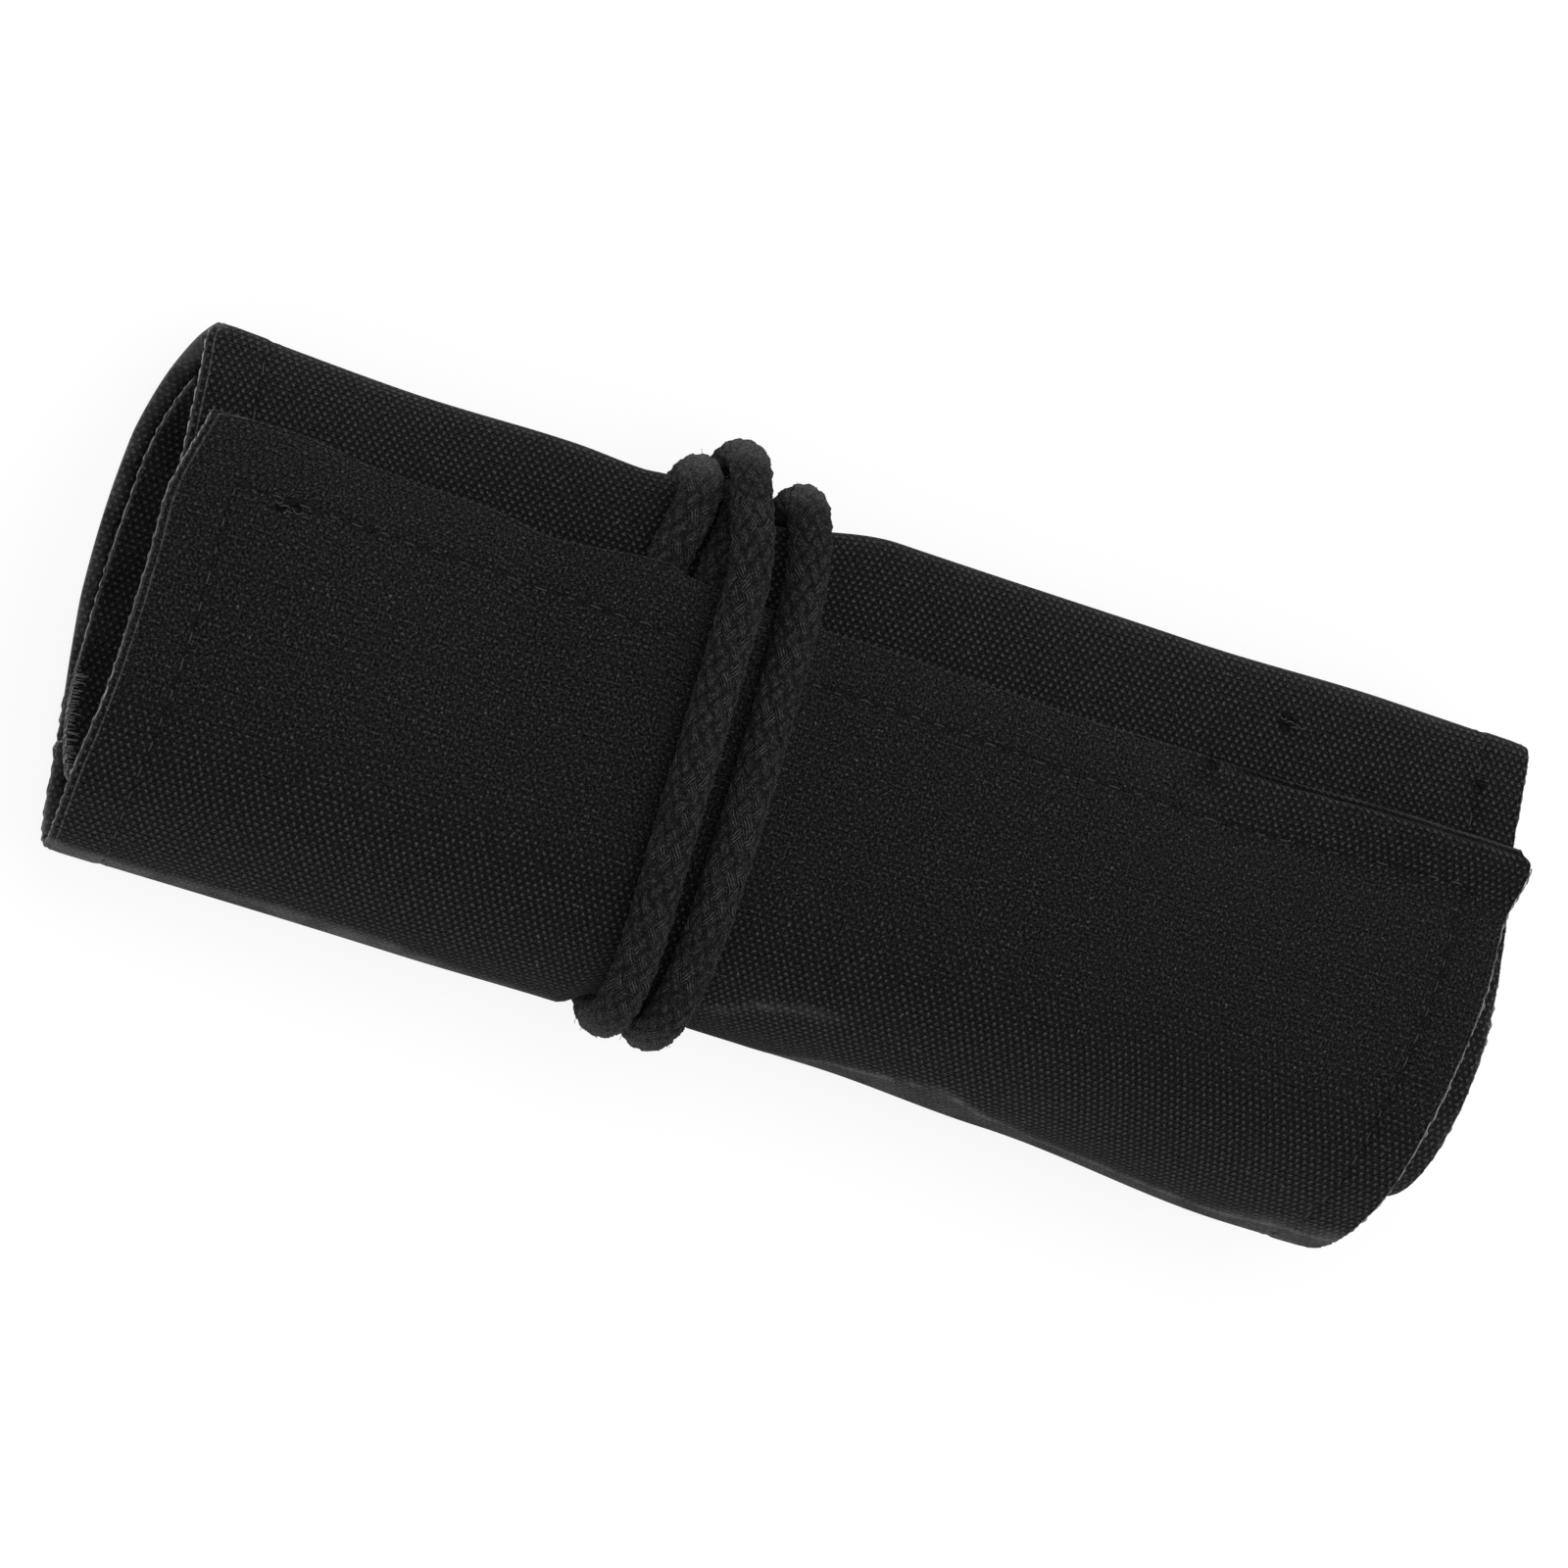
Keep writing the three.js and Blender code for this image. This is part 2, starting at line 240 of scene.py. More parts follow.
HALF_WIDTH = (ROLL_WIDTH - CANVAS) / 2
HALF_HEIGHT = (ROLL_HEIGHT + FLAT_UNDERSIDE - CANVAS) / 2
MIDDLE = (ROLL_HEIGHT - FLAT_UNDERSIDE) / 2
HALF_LENGTH = ROLL_LENGTH / 2
HEM = CLOTH + HEM_EXTRA
HEM_MIDDLE = (CANVAS - HEM) / 2

# Distances that stand for no edge, and for no pale line beside it
FAR = 99.0
NO_LINE = 9


# Shape of the roll

def smooth(value, low, high):
    """0 up to low, 1 from high on, and a smooth rise between them."""
    share = np.clip((np.asarray(value, float) - low) / (high - low), 0, 1)
    return share * share * (3 - 2 * share)


def keyed(keys, at):
    """A value that runs smoothly from key to key."""
    places, values = np.array(sorted(keys), float).T
    after = np.clip(np.searchsorted(places, at), 1, len(places) - 1)
    share = smooth(at, places[after - 1], places[after])
    return values[after - 1] * (1 - share) + values[after] * share


def bump(value, middle, half):
    """A bell curve, 1 at its middle."""
    return np.exp(-((value - middle) / half) ** 2)


def within(value, start, full, fade, end):
    """Rises from start to full, and goes down again from fade to end."""
    return smooth(value, start, full) * (1 - smooth(value, fade, end))


def near(value, middle, half, run):
    """1 up to half from the middle, going down to 0 over a further run."""
    return 1 - smooth(np.abs(value - middle), half, half + run)


def evened(even, places, values, spread, reach):
    """Values at even places, each mixed with its neighbours."""
    weights = bump(np.arange(-reach, reach + 1), 0, spread)
    padded = np.pad(np.interp(even, places, values), reach, mode="reflect", reflect_type="odd")
    return np.convolve(padded, weights / weights.sum(), mode="valid")


def section(angle, inset=None):
    """Middle line of the rolled sheet at winding angles, as y and z."""
    turn = np.radians(angle)
    across, up = np.cos(turn), np.sin(turn)
    if inset is None:
        inset = keyed(INSET_KEYS, angle)
    pointed = POINTED + (INNER_POINTED - POINTED) * smooth(angle, INNER_FROM, INNER_FULL)
    side = np.sign(up)
    bulge = side * np.abs(up) ** pointed * (1 - LEAN * across * side)
    height = MIDDLE + (HALF_HEIGHT - inset) * bulge
    return (HALF_WIDTH - inset) * across, np.maximum(height, CANVAS / 2)


def drawn_in(x, y, z):
    """The straight roll drawn in at the tie and fuller at its right end."""
    pull = near(x, TIE_MIDDLE, TIE_HALF, WAIST_RUN)
    low = WAIST_UNDER * pull
    high = ROLL_HEIGHT - WAIST_OVER * pull + RIGHT_FULLNESS * smooth(x, 0, HALF_LENGTH)
    wider = np.where(y > 0, keyed(BACK_WIDER, x), keyed(FRONT_WIDER, x))
    return y * (1 + wider / HALF_WIDTH * (y / HALF_WIDTH) ** 2), low + z / ROLL_HEIGHT * (high - low)


def lengthwise(x, angle):
    """Place along the roll of a point of the sheet, which reaches further or less far at its ends."""
    reach = np.where(x < 0, keyed(LEFT_REACH, angle), keyed(RIGHT_REACH, angle))
    return x + np.sign(x) * reach * smooth(np.abs(x), HALF_LENGTH - END_RUN, HALF_LENGTH - END_KEPT)


def flap_winding(x, angle):
    """Winding angle of a point of the flap, whose free edge wanders along the roll."""
    share = 1 - smooth(angle - FLAP_EDGE, 0, FLAP_EDGE_RUN)
    return angle + (keyed(FLAP_EDGE_AT, x) - FLAP_EDGE) * share


def flap_rise(x, angle):
    """The flap rises over the two tucked cord ends near its free edge."""
    across = near(x, FLAP_LIFT_MIDDLE, FLAP_LIFT_HALF, FLAP_LIFT_RUN)
    return FLAP_LIFT * across * (1 - smooth(angle, FLAP_LIFT_FROM, FLAP_LIFT_TO))


def sheet_line(step=0.1):
    """Middle line of the whole sheet as a table over its length, with its folds rounded a little."""
    angle = np.arange(FLAP_EDGE - 6, INNER_END + 2.01, 0.05)
    y, z = section(angle)
    run = np.concatenate([[0], np.cumsum(np.hypot(np.diff(y), np.diff(z)))])
    run -= np.interp(FLAP_EDGE, angle, run)
    even = np.arange(run[0], run[-1], step)
    spread = FOLD_ROUNDING * math.sqrt(2) / step
    line_y, line_z = (evened(even, run, values, spread, 40) for values in (y, z))
    slope_y, slope_z = np.gradient(line_y), np.gradient(line_z)
    size = np.hypot(slope_y, slope_z)
    return even, np.interp(even, run, angle), line_y, line_z, slope_z / size, -slope_y / size


LINE_RUN, LINE_ANGLE, LINE_Y, LINE_Z, NORMAL_Y, NORMAL_Z = sheet_line()


def run_at(angle):
    return np.interp(angle, LINE_ANGLE, LINE_RUN)


SHEET_LENGTH = float(run_at(INNER_END))
FRONT_LENGTH = float(run_at(PIECES_MEET))
FOLD_RUN = float(run_at(FRONT_FOLD))
BACK_RUN = float(run_at(BACK_FOLD))
INNER_RUN = float(run_at(INNER_FOLD))


def relief(x, angle):
    """Soft unevenness of the cloth, the same for layers that lie on each other."""
    turn = np.radians(angle)
    slow = SLOW_RELIEF * np.sin(x / 17 + 2 * np.cos(turn)) * np.sin(turn + 0.6)
    fine = FINE_RELIEF * np.sin(x / 6.1 + 3 * np.sin(turn)) * np.cos(2 * turn + x / 40)
    return (slow + fine) * np.abs(np.sin(turn))


def flap_wave(x, run):
    """The flap's free edge stands off a little at the right and in one small arch."""
    corner = CORNER_LIFT * smooth(x, CORNER_FROM, CORNER_FULL) * (1 - smooth(run, 1, 12))
    arch = ARCH_LIFT * bump(x, ARCH_MIDDLE, ARCH_HALF) * (1 - smooth(run, 0.5, 5))
    return corner + arch


def canvas_place(width, run, offset, lowest=0):
    """Points of the sheet at a width from its left end, a length from the flap's edge and a height."""
    width, run, offset = np.broadcast_arrays(width, run, offset)
    angle = np.interp(run, LINE_RUN, LINE_ANGLE)
    x = lengthwise(width - HALF_LENGTH, angle)
    on_flap = angle < FRONT_FOLD
    angle = np.where(on_flap, flap_winding(x, angle), angle)
    at = run_at(angle)
    away = offset + relief(x, angle)
    y = np.interp(at, LINE_RUN, LINE_Y) + np.interp(at, LINE_RUN, NORMAL_Y) * away
    z = np.interp(at, LINE_RUN, LINE_Z) + np.interp(at, LINE_RUN, NORMAL_Z) * away
    y, z = drawn_in(x, y, z)
    z = z + np.where(on_flap, flap_rise(x, angle) + flap_wave(x, run), 0)
    return np.stack([x, y, np.maximum(z, lowest)], -1)


def on_sheet(x, angle):
    """Width and length on the sheet of a place along the roll at a winding angle."""
    steps = 2000
    widths = np.linspace(0, ROLL_LENGTH, steps)
    width = np.interp(x, lengthwise(widths - HALF_LENGTH, np.full(steps, float(angle))), widths)
    if angle > FRONT_FOLD:
        return width, float(run_at(angle))
    angles = np.linspace(FLAP_EDGE, FRONT_FOLD, steps)
    return width, float(run_at(np.interp(angle, flap_winding(x, angles), angles)))


# Meshes

def make_piece(name, points, faces, material, uv=None, **attributes):
    """A smooth mesh object from points in millimetres, without the points that no face uses."""
    used = np.unique(np.concatenate([np.ravel(face) for face in faces]))
    number = np.zeros(len(points), int)
    number[used] = np.arange(len(used))
    mesh = bpy.data.meshes.new(name)
    polygons = [number[list(dict.fromkeys(face))].tolist() for face in faces]
    mesh.from_pydata((points[used] * MM).tolist(), [], polygons)
    mesh.shade_smooth()
    if uv is not None:
        corners = np.empty(len(mesh.loops), int)
        mesh.loops.foreach_get("vertex_index", corners)
        layer = mesh.uv_layers.new(name="lay")
        layer.data.foreach_set("uv", (uv[used][corners] * MM).ravel().astype(np.float32))
    for title, values in attributes.items():
        made = mesh.attributes.new(title, "FLOAT", "POINT")
        made.data.foreach_set("value", np.ravel(values)[used].astype(np.float32))
    piece = bpy.data.objects.new(name, mesh)
    bpy.context.scene.collection.objects.link(piece)
    mesh.materials.append(material)
    return piece


def shell_faces(rows, columns, open_rows=()):
    """Faces of a closed shell of two grids that share their rims, apart from cut rows."""
    outer = np.arange(rows * columns).reshape(rows, columns)
    inner = outer + rows * columns
    inner[:, 0], inner[:, -1] = outer[:, 0], outer[:, -1]
    for row in (0, rows - 1):
        if row not in open_rows:
            inner[row] = outer[row]

    def quads(a, b, c, d):
        return np.stack([a.ravel(), b.ravel(), c.ravel(), d.ravel()], 1).tolist()

    faces = quads(outer[:-1, :-1], outer[1:, :-1], outer[1:, 1:], outer[:-1, 1:])
    faces += quads(inner[:-1, :-1], inner[:-1, 1:], inner[1:, 1:], inner[1:, :-1])
    for row in open_rows:
        one, other = (outer[row], inner[row]) if row == 0 else (inner[row], outer[row])
        faces += quads(one[:-1], one[1:], other[1:], other[:-1])
    return faces


def spaced(start, *stretches):
    """Places along a line from its start: (end, step) for each stretch."""
    places = []
    for end, step in stretches:
        places.append(np.linspace(start, end, max(2, round(abs(end - start) / step) + 1)))
        start = end
    return np.unique(np.round(np.concatenate(places), 4))


def with_rim(places, low, high, radius):
    """Places with closer ones at the rims at the low and high end, where asked for."""
    bend = radius * (1 - np.cos(np.linspace(0, np.pi / 2, 6)))
    rim = np.concatenate([bend, radius + np.arange(1, 9) * 0.15])
    clear = rim[-1] + 0.1
    if low is not None:
        places = np.concatenate([low + rim, places[places > low + clear]])
    if high is not None:
        places = np.concatenate([places[places < high - clear], (high - rim)[::-1]])
    return places


def crease(x, run, keys, half):
    """1 along a crease that is given by winding angles at places along the roll, fading at its ends."""
    first, last = keys[0][0], keys[-1][0]
    return within(x, first, first + 5, last - 5, last) * bump(run, run_at(keyed(keys, x)), half)


# An edge of a piece of cloth: whether it runs round the roll, its place, and the distance of its
# stitched row at places along it, if it has a hem
Edge = namedtuple("Edge", "is_side place stitch", defaults=[None])


def edge_distances(run, width, edges):
    """Distances to the nearest edge, to the nearest side edge and past the nearest stitched row, and the
    length along that row."""
    edge = side = np.full(run.shape, FAR)
    past_rows, along_row = [], run
    for item in edges:
        across, along = (width, run) if item.is_side else (run, width)
        away = np.abs(across - item.place)
        edge = np.minimum(edge, away)
        if item.is_side:
            side = np.minimum(side, away)
        if item.stitch is not None:
            past_rows.append(away - np.interp(along, *item.stitch))
            along_row = np.where(past_rows[-1] < HEM_PAST_STITCH, along, along_row)
    return edge, side, np.min(past_rows, axis=0), along_row


def hem_relief(edge, side, past, along_row, hemmed):
    """A hem puffs up, sinks at the stitches of its row, ripples along it and has ridges at its side."""
    row_sag = bump(past, 0, 0.7)
    stitches = 2 * np.pi * along_row / STITCH_PITCH
    puffed = 0.14 * hemmed * (1 - row_sag) * smooth(edge, 0, 3)
    sunk = row_sag * (0.11 + 0.05 * np.cos(stitches))
    ripple = 0.08 * hemmed * np.sin(stitches / 2.3)
    ridges = 0.05 * bump(side, 0.3, 0.2) - 0.12 * bump(side, 0.65, 0.2) + 0.06 * bump(side, 1.05, 0.2)
    return puffed - sunk + ripple + ridges


def fold_wear_and_sheen(x, angle, run):
    """Wear and painted sheen of the outer face along the front fold, most at its left, and a little along the
    back fold; the painted sheen is the paleness where these folds turn away at the silhouette.
    """
    left, right = 1 - smooth(x, -102, -76), smooth(x, 70, 95)
    share = 0.5 + 0.15 * smooth(x, -20, 20) + bump(x, -58, 24) + 1.6 * left + 0.4 * right
    start = run_at(keyed(FOLD_CREASE, x))
    front = share * within(run, start - 2 - 2.5 * right, start + 0.8, FOLD_RUN + 2, FOLD_RUN + 8)
    return np.maximum(front, 0.4 * bump(angle, BACK_FOLD, 9))


def sheen_and_fray_marks(x, angle, run, side, below):
    """Painted sheen and some fraying of both faces: paler at the edges of the underside, the left end of the
    back fold, the edges of the inner turn at the right and the flap's right corner, where the rims catch the
    light, and a little paler all over the inner turn."""
    underside = 1.2 * below * (1 - smooth(side, 0, 2.6))
    back_corner = 2.4 * (x < 0) * within(angle, 295, 338, 360, 376) * (1 - smooth(side, 0.3, 3.2))
    inner_right = 0.6 * smooth(angle, 425, 440) * (1 - smooth(side, 0, 1.5)) * smooth(x, 0, 50)
    flap_corner = 0.7 * smooth(x, 60, 100) * bump(run, 0.25, 0.3)
    inner_turn = 0.16 * smooth(angle, 412, 430)
    return np.max([underside, back_corner, inner_right, flap_corner, inner_turn], axis=0)


def unevenness(x, angle):
    """Where the weave loses its order: the flap's top, less at its stiff right edge, and the front fold."""
    stiff = 0.7 * smooth(x, 40, 60) * (1 - smooth(angle, 62, 72))
    top = (1 - smooth(angle, 95, 138)) * (1 - stiff)
    return np.maximum(top, 0.85 * within(angle, 148, 166, 190, 200))


def cloth_piece(name, rows, columns, edges, material, outside=CANVAS / 2, open_rows=()):
    """A stretch of cloth, doubled along its hems and rounded at its rims."""
    run, width = np.meshgrid(rows, columns, indexing="ij")
    angle = np.interp(run, LINE_RUN, LINE_ANGLE)
    x = lengthwise(width - HALF_LENGTH, angle)
    edge, side, past, along_row = edge_distances(run, width, edges)
    hemmed = 1 - smooth(past, HEM_PAST_STITCH - 0.5, HEM_PAST_STITCH + 0.4)
    wrinkle = crease(x, run, WRINKLE, 0.7)
    sharp = crease(x, run, FOLD_CREASE, 0.32) * smooth(x, 0, 12) * (1 - 0.7 * bump(x, 48, 8))
    # A groove near the flap's free edge at its right: sunk a little, and painted dark as a contact shadow
    # through the shade attribute.
    groove = bump(run, 0.8, 0.3) * smooth(x, 50, 64)

    half = (CLOTH + HEM_EXTRA * hemmed) / 2
    middle = outside - half
    rounded = np.sqrt(1 - (1 - np.clip(edge / half, 0, 1)) ** 2)
    lifted = half + hem_relief(edge, side, past, along_row, hemmed)
    lifted += 0.35 * wrinkle + 0.2 * sharp - 0.25 * groove
    outer = canvas_place(width, run, middle + lifted * rounded)
    inner = canvas_place(width, run, middle - half * rounded)

    below = within(angle, 184, 196, 350, 362)
    # Pale haze along rims and edges: painted sheen where they catch the light, with some fraying.
    sheen_and_fray = sheen_and_fray_marks(x, angle, run, side, below)
    # Wear and painted sheen along the folds, with painted highlights along the crease and wrinkle ridges.
    worn = np.maximum(fold_wear_and_sheen(x, angle, run) + 1.8 * sharp + 0.65 * wrinkle, sheen_and_fray)
    # Distance to the rims, where pale lines are painted as highlights.
    line = np.minimum(side, edge + 0.15 * side) + below
    line = np.where(((angle > 420) | (x > 50)) & (line > 0.6), NO_LINE, line)
    # Painted shade along the stitched rows and a painted contact shadow in the groove.
    seam = np.maximum(bump(past, 0, 0.4), 2 * groove)
    uneven = unevenness(x, angle)
    points = np.concatenate([outer.reshape(-1, 3), inner.reshape(-1, 3)])
    uv = np.tile(np.stack([width, run], -1).reshape(-1, 2), (2, 1))
    return make_piece(name, points, shell_faces(*run.shape, open_rows), material, uv, edge=[line, line],
                      fold=[worn, sheen_and_fray], seam=[seam, seam], uneven=[uneven, uneven])


def tube_parts(line, side, up, half_wide, half_high, sides, ring=None):
    """Points and faces of a closed tube; half sizes are for each station, ring for each point."""
    count = len(line)
    turn = np.arange(sides) / sides * 2 * np.pi
    grow = np.ones((count, sides)) if ring is None else ring
    across = (np.cos(turn) * grow) * np.reshape(half_wide, (-1, 1))
    rise = (np.sin(turn) * grow) * np.reshape(half_high, (-1, 1))
    points = line[:, None] + side[:, None] * across[..., None] + up[:, None] * rise[..., None]
    points = np.concatenate([points.reshape(-1, 3), line[:1], line[-1:]])
    number = np.arange(count * sides).reshape(count, sides)
    after = np.roll(number, -1, axis=1)
    faces = np.stack([number[:-1], number[1:], after[1:], after[:-1]], -1).reshape(-1, 4).tolist()
    start, end = count * sides, count * sides + 1
    faces += [[start, int(a), int(b)] for a, b in zip(number[0], after[0])]
    faces += [[end, int(b), int(a)] for a, b in zip(number[-1], after[-1])]
    return points, faces


def unit(vectors):
    return vectors / np.linalg.norm(vectors, axis=-1, keepdims=True)


def thread_parts(line, normal, radius, sides=6):
    """Tube parts of a thread that follows a line on a surface with that normal."""
    ahead = unit(np.gradient(line, axis=0))
    side = unit(np.cross(ahead, normal))
    up = np.cross(side, ahead)
    thick = np.broadcast_to(radius, len(line))
    return tube_parts(line, side, up, thick, thick, sides)


def joined(parts):
    """Several tubes as one set of points and faces, none of it below the floor."""
    points, faces, count = [], [], 0
    for some, those in parts:
        points.append(some)
        faces += [[n + count for n in face] for face in those]
        count += len(some)
    points = np.concatenate(points)
    points[:, 2] = np.maximum(points[:, 2], 0)
    return points, faces


def edge_yarn(width, run_from, run_to, height=HEM_MIDDLE):
    """The yarn that stands out along a side edge, thicker over each yarn that it crosses."""
    run = np.arange(run_from, run_to, 0.16)
    wander = np.sin(run / 5.3) + np.sin(run / 2.9)
    rough = np.convolve(np.random.default_rng(5).standard_normal(len(run)), np.full(5, 0.45), "same")
    phase = 2 * np.pi * run / EDGE_YARN_PITCH + 2.5 * wander
    line = canvas_place(width + 0.08 * np.sin(phase / 2) + 0.04 * rough, run, height + 0.12 * wander)
    normal = unit(canvas_place(width, run, height + 1) - line)
    radius = EDGE_YARN * np.clip(0.3 + 0.07 * np.sin(phase) + 0.06 * rough, 0.15, 0.5)
    return thread_parts(line, normal, radius, 8)


def fibres(roots, outward, reach, chance, radius=0.045):
    """Loose fibres that stand off a surface at the given points, each bent its own way."""
    parts = []
    share = np.linspace(0, 1, 5)[:, None]
    for root, out in zip(roots, outward):
        lean, curl = chance.normal(0, 0.9, (2, 3))
        line = root + reach * chance.uniform(0.3, 1) * (share * unit(out + lean) + 0.6 * share ** 2 * curl)
        parts.append(thread_parts(line, np.array([0.3, 0.2, 1.0]), radius, 3))
    return parts


def stitch(widths, runs, height, way, bend=0):
    """One stitch between two places on the sheet, sunk at both ends and perhaps bent sideways."""
    share = np.linspace(0, 1, 11)
    here, there = np.interp(share, [0, 1], widths), np.interp(share, [0, 1], runs)
    there = there + bend * np.sin(np.pi * share)
    level = height + way * (0.38 * np.sin(np.pi * share) - STITCH_SUNK)
    line = canvas_place(here, there, level)
    normal = unit(canvas_place(here, there, level + way, lowest=-ROLL_HEIGHT) - line)
    return thread_parts(line, normal, THREAD / 2)


def row_of_stitches(widths, runs, height=CANVAS / 2, way=1):
    """Stitches along a row that is given by places on the sheet."""
    steps = np.hypot(np.diff(widths), np.diff(runs))
    length = np.concatenate([[0], np.cumsum(steps)])
    chance = np.random.default_rng(len(steps))
    parts = []
    for start in np.arange(0, length[-1] - STITCH_LENGTH, STITCH_PITCH):
        trim, sunk, bend = chance.uniform((0, 0, -0.2), (1.2, 0.13, 0.2))
        ends = [start + trim, start + STITCH_LENGTH]
        places = np.interp(ends, length, widths), np.interp(ends, length, runs)
        parts.append(stitch(*places, height - way * sunk, way, bend))
    return parts


def tack(x, angle, stitches):
    """A few loose short stitches, where a row starts or ends."""
    width, run = on_sheet(x, angle)
    parts = []
    for along, across, length, bend in stitches:
        start = width + along
        parts.append(stitch([start, start + length], [run + across] * 2, CANVAS / 2 + 0.2, 1, bend))
    return parts


def overcast(angle_from, angle_to, pitch):
    """Close uneven stitches wrapped over the left edge of the sheet."""
    parts = []
    turn = np.linspace(-0.5, 1.5, 15) * np.pi
    chance = np.random.default_rng(7)
    for run in np.arange(run_at(angle_from), run_at(angle_to), pitch):
        reach, slant, radius = chance.uniform((0.75, 0.1, 0.06), (1.6, 1.5, 0.11)) ** (2, 1, 1)
        width = np.where(np.cos(turn) < 0, -0.15, reach) * np.abs(np.cos(turn)) ** 0.5
        lift = HEM_MIDDLE + (HEM / 2 + 0.1) * np.sin(turn)
        line = canvas_place(width, run + slant * np.sin(turn / 2), lift)
        parts.append(thread_parts(line, np.array([0, 1.0, 0.01]), radius))
    return parts


# Cord

def cord_route(cord):
    """Centres, outward normals, heights, lengths and winding angles of a cord, spaced evenly."""
    angle = np.arange(CORD_START, CORD_END - 0.01, -0.5)
    x = keyed(cord["places"], angle)
    tucked = angle > 0

    def line(turn):
        inset = np.where(tucked, keyed(INSET_KEYS, turn + 360), 0)
        y, z = drawn_in(x, *section(np.where(tucked, turn + 360, turn % 360), inset))
        over_flap = np.where(turn < -FRONT_FOLD, flap_rise(x, turn + 360), 0)
        return y, z + over_flap * smooth(turn + 360, 15, FLAP_EDGE)

    (y0, z0), (y1, z1) = line(angle - 0.5), line(angle + 0.5)
    size = np.hypot(y1 - y0, z1 - z0)
    normal = np.stack([np.zeros(len(angle)), (z1 - z0) / size, (y0 - y1) / size], -1)
    shown = smooth(TUCK_FROM - angle, 0, TUCK_RUN)
    height = CORD_TUCKED_HEIGHT + (CORD_WIDTH * keyed(cord["press"], angle) - CORD_TUCKED_HEIGHT) * shown
    away = CANVAS / 2 + CORD_GAP + height / 2 + keyed(cord["lift"], angle)
    points = np.stack([x, *line(angle)], -1) + normal * away[:, None]
    run = np.concatenate([[0], np.cumsum(np.linalg.norm(np.diff(points, axis=0), axis=1))])
    even = np.linspace(0, run[-1], round(run[-1] / 0.25) + 1)
    columns = np.column_stack([points, normal, height, angle]).T
    made = np.stack([evened(even, run, values, 10, 24) for values in columns], -1)
    return made[:, :3], unit(made[:, 3:6]), made[:, 6], even, made[:, 7]


def braid_height(around, along):
    """Height of a round braid from 0 to 1: two families of strands, each over one and under one."""
    one = (around + along / BRAID_PITCH) * BRAID_STRANDS
    other = (around - along / BRAID_PITCH) * BRAID_STRANDS

    def strand(own, crossed, way):
        wave = 0.5 + 0.5 * way * np.where(np.floor(own) % 2, -1, 1) * np.sin(np.pi * crossed)
        profile = 1 - np.abs(2 * (own % 1) - 1) ** 3
        return profile * (0.35 + 0.65 * wave)

    return np.maximum(strand(one, other, 1), strand(other, one, -1))


def cord_piece(name, cord, material, fibre_material, sides=72):
    """One tail of the tie with its braid, worn and with painted sheen at the folds, and the loose fibres on
    it.
    """
    line, normal, height, along, angle = cord_route(cord)
    ahead = unit(np.gradient(line, axis=0))
    side = unit(np.cross(ahead, normal))
    up = np.cross(side, ahead)
    around = np.arange(sides) / sides
    lumps = BRAID_DEPTH * (braid_height(around[None], along[:, None]) - 0.75)
    lumps += FUZZ * np.random.default_rng(4).standard_normal(lumps.shape)
    grow = 1 + lumps / (CORD_WIDTH / 2)
    from_end = np.minimum(along, along[-1] - along)
    grow *= np.sqrt(1 - (1 - np.clip(from_end / CORD_END_ROUND, 0.05, 1)) ** 2)[:, None]
    half_wide = np.full(len(line), (CORD_WIDTH - CORD_TRIM) / 2)
    points, faces = tube_parts(line, side, up, half_wide, (height - CORD_TRIM) / 2, sides, grow)
    points[:, 2] = np.maximum(points[:, 2], 0)
    # Wear and painted sheen on the cord's tops at the back fold and its loops at the front fold; the loose
    # fibres gather there too.
    worn = bump(angle, 0, 11) + bump(angle, -360, 11) + 0.8 * bump(angle, -184, 14)
    chance = np.random.default_rng(8)
    often = worn + 0.2
    station = chance.choice(len(line), CORD_FIBRES, p=often / often.sum())
    place = chance.integers(0, sides // 2, CORD_FIBRES)
    roots = points[station * sides + place]
    loose = fibres(roots, 0.4 * unit(roots - line[station]), FIBRE_REACH, chance)
    fibre_piece = make_piece(name + "_fibres", *joined(loose), fibre_material)
    worn = np.concatenate([np.repeat(worn, sides), worn[[0, -1]]])
    piece = make_piece(name, points, faces, material, worn=worn)
    lay_round(piece.data, along, sides)
    for item in (piece, fibre_piece):
        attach(item, "tie")
    return piece


def lay_round(mesh, along, sides):
    """Coordinates on a tube: share of a turn, and metres along it, with a seam at the last side."""
    corners = np.empty(len(mesh.loops), int)
    mesh.loops.foreach_get("vertex_index", corners)
    count = len(along)
    ring = np.where(corners == count * sides, 0, np.minimum(corners // sides, count - 1))
    place = corners % sides
    totals = np.empty(len(mesh.polygons), int)
    mesh.polygons.foreach_get("loop_total", totals)
    face = np.repeat(np.arange(len(totals)), totals)
    at_seam = np.zeros(len(totals), bool)
    np.maximum.at(at_seam, face, place == sides - 1)
    turn = np.where(at_seam[face] & (place == 0), sides, place) / sides
    layer = mesh.uv_layers.new(name="lay")
    layer.data.foreach_set("uv", np.stack([turn, along[ring] * MM], -1).ravel().astype(np.float32))


# Materials

